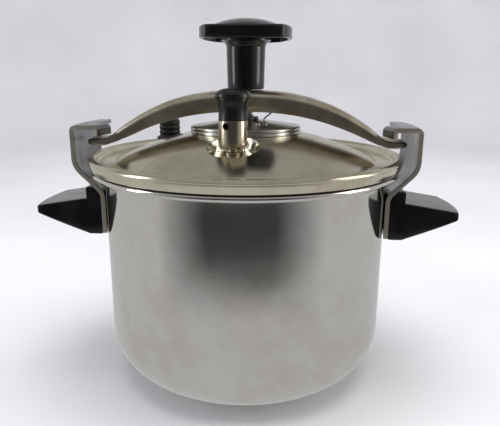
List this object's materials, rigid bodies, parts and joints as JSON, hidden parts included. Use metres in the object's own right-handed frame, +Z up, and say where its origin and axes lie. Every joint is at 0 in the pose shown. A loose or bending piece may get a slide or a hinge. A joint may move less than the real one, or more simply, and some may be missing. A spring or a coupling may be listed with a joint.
{
  "type": "stovetop pressure cooker",
  "caption": "Stainless stovetop pressure cooker with a clamp bow, screw knob, steam regulator, safety valve, hook brackets and black side handles.",
  "frame": {"origin": "centre of the underside of the base, where it rests", "axes": "+Z up, +X through the right handle, +Y to the back, away from the steam regulator"},
  "size_m": [0.333, 0.2436, 0.2782],
  "materials": {
    "polished_steel": "polished, with faint turning lines and a hazy lower half",
    "lid_steel": "satin, warm, worn",
    "bracket_steel": "dull, blue-grey",
    "bow_steel": "satin with a brown heat tint",
    "fastener_steel": "plain",
    "dark_wire": "dull",
    "nickel": "polished, slightly yellow",
    "aluminium": "plain",
    "brass": "turned",
    "phenolic": "black, moulded, glossy",
    "satin_black": "black, satin",
    "soft_black": "black, matt",
    "rubber": "black, matt"
  },
  "bodies": {
    "pot": {"pot_body": "polished_steel", "heat_spreader": "aluminium", "base_cap": "polished_steel", "bracket_left": "bracket_steel", "bracket_right": "bracket_steel", "handle_left": "phenolic", "handle_right": "phenolic", "handle_screws": "fastener_steel", "handle_washers": "fastener_steel"},
    "lid": {"lid_shell": "lid_steel", "lid_gasket": "rubber", "steam_nozzle": "brass", "nozzle_washer": "rubber", "nozzle_nut": "brass", "safety_housing": "brass", "safety_washer": "fastener_steel", "safety_nut": "brass", "safety_plug": "brass", "safety_cap": "soft_black", "safety_spring": "fastener_steel"},
    "safety_plunger": {"safety_plunger": "brass"},
    "regulator": {"regulator_weight": "nickel", "regulator_needle": "fastener_steel", "regulator_cap": "satin_black"},
    "bow": {"bow_channel": "bow_steel", "bow_nut": "fastener_steel"},
    "pressure_disc": {"pressure_disc": "polished_steel", "disc_backing": "polished_steel", "disc_rivets": "fastener_steel", "thrust_washer": "brass", "centring_wire": "dark_wire"},
    "screw": {"clamp_screw": "fastener_steel", "retaining_ring": "dark_wire", "knob": "phenolic", "knob_nut": "fastener_steel", "knob_cap": "phenolic"}
  },
  "joints": [
    {"name": "lid_slide", "type": "slide", "parent": "pot", "child": "lid", "axis": [0, -1, 0], "range_m": [0, 0.28]},
    {"name": "bow_turn", "type": "hinge", "parent": "lid", "child": "bow", "pos_m": [0, 0, 0.21], "axis": [0, 0, 1], "range_deg": [0, 45]},
    {"name": "disc_lift", "type": "slide", "parent": "bow", "child": "pressure_disc", "axis": [0, 0, 1], "range_m": [0, 0.006]},
    {"name": "screw_turn", "type": "hinge", "parent": "pressure_disc", "child": "screw", "pos_m": [0, 0, 0.21], "axis": [0, 0, 1], "range_deg": [0, 720]},
    {"name": "regulator_lift", "type": "slide", "parent": "lid", "child": "regulator", "axis": [0, 0, 1], "range_m": [0, 0.02]},
    {"name": "safety_lift", "type": "slide", "parent": "lid", "child": "safety_plunger", "axis": [0, 0, 1], "range_m": [0, 0.002], "stiffness_N_per_m": 300, "springref_m": -0.004, "deforming": ["safety_spring"]}
  ],
  "couplings": [
    {"joint": "screw_turn", "follows": "disc_lift", "rad_per_m": 2094.4}
  ]
}
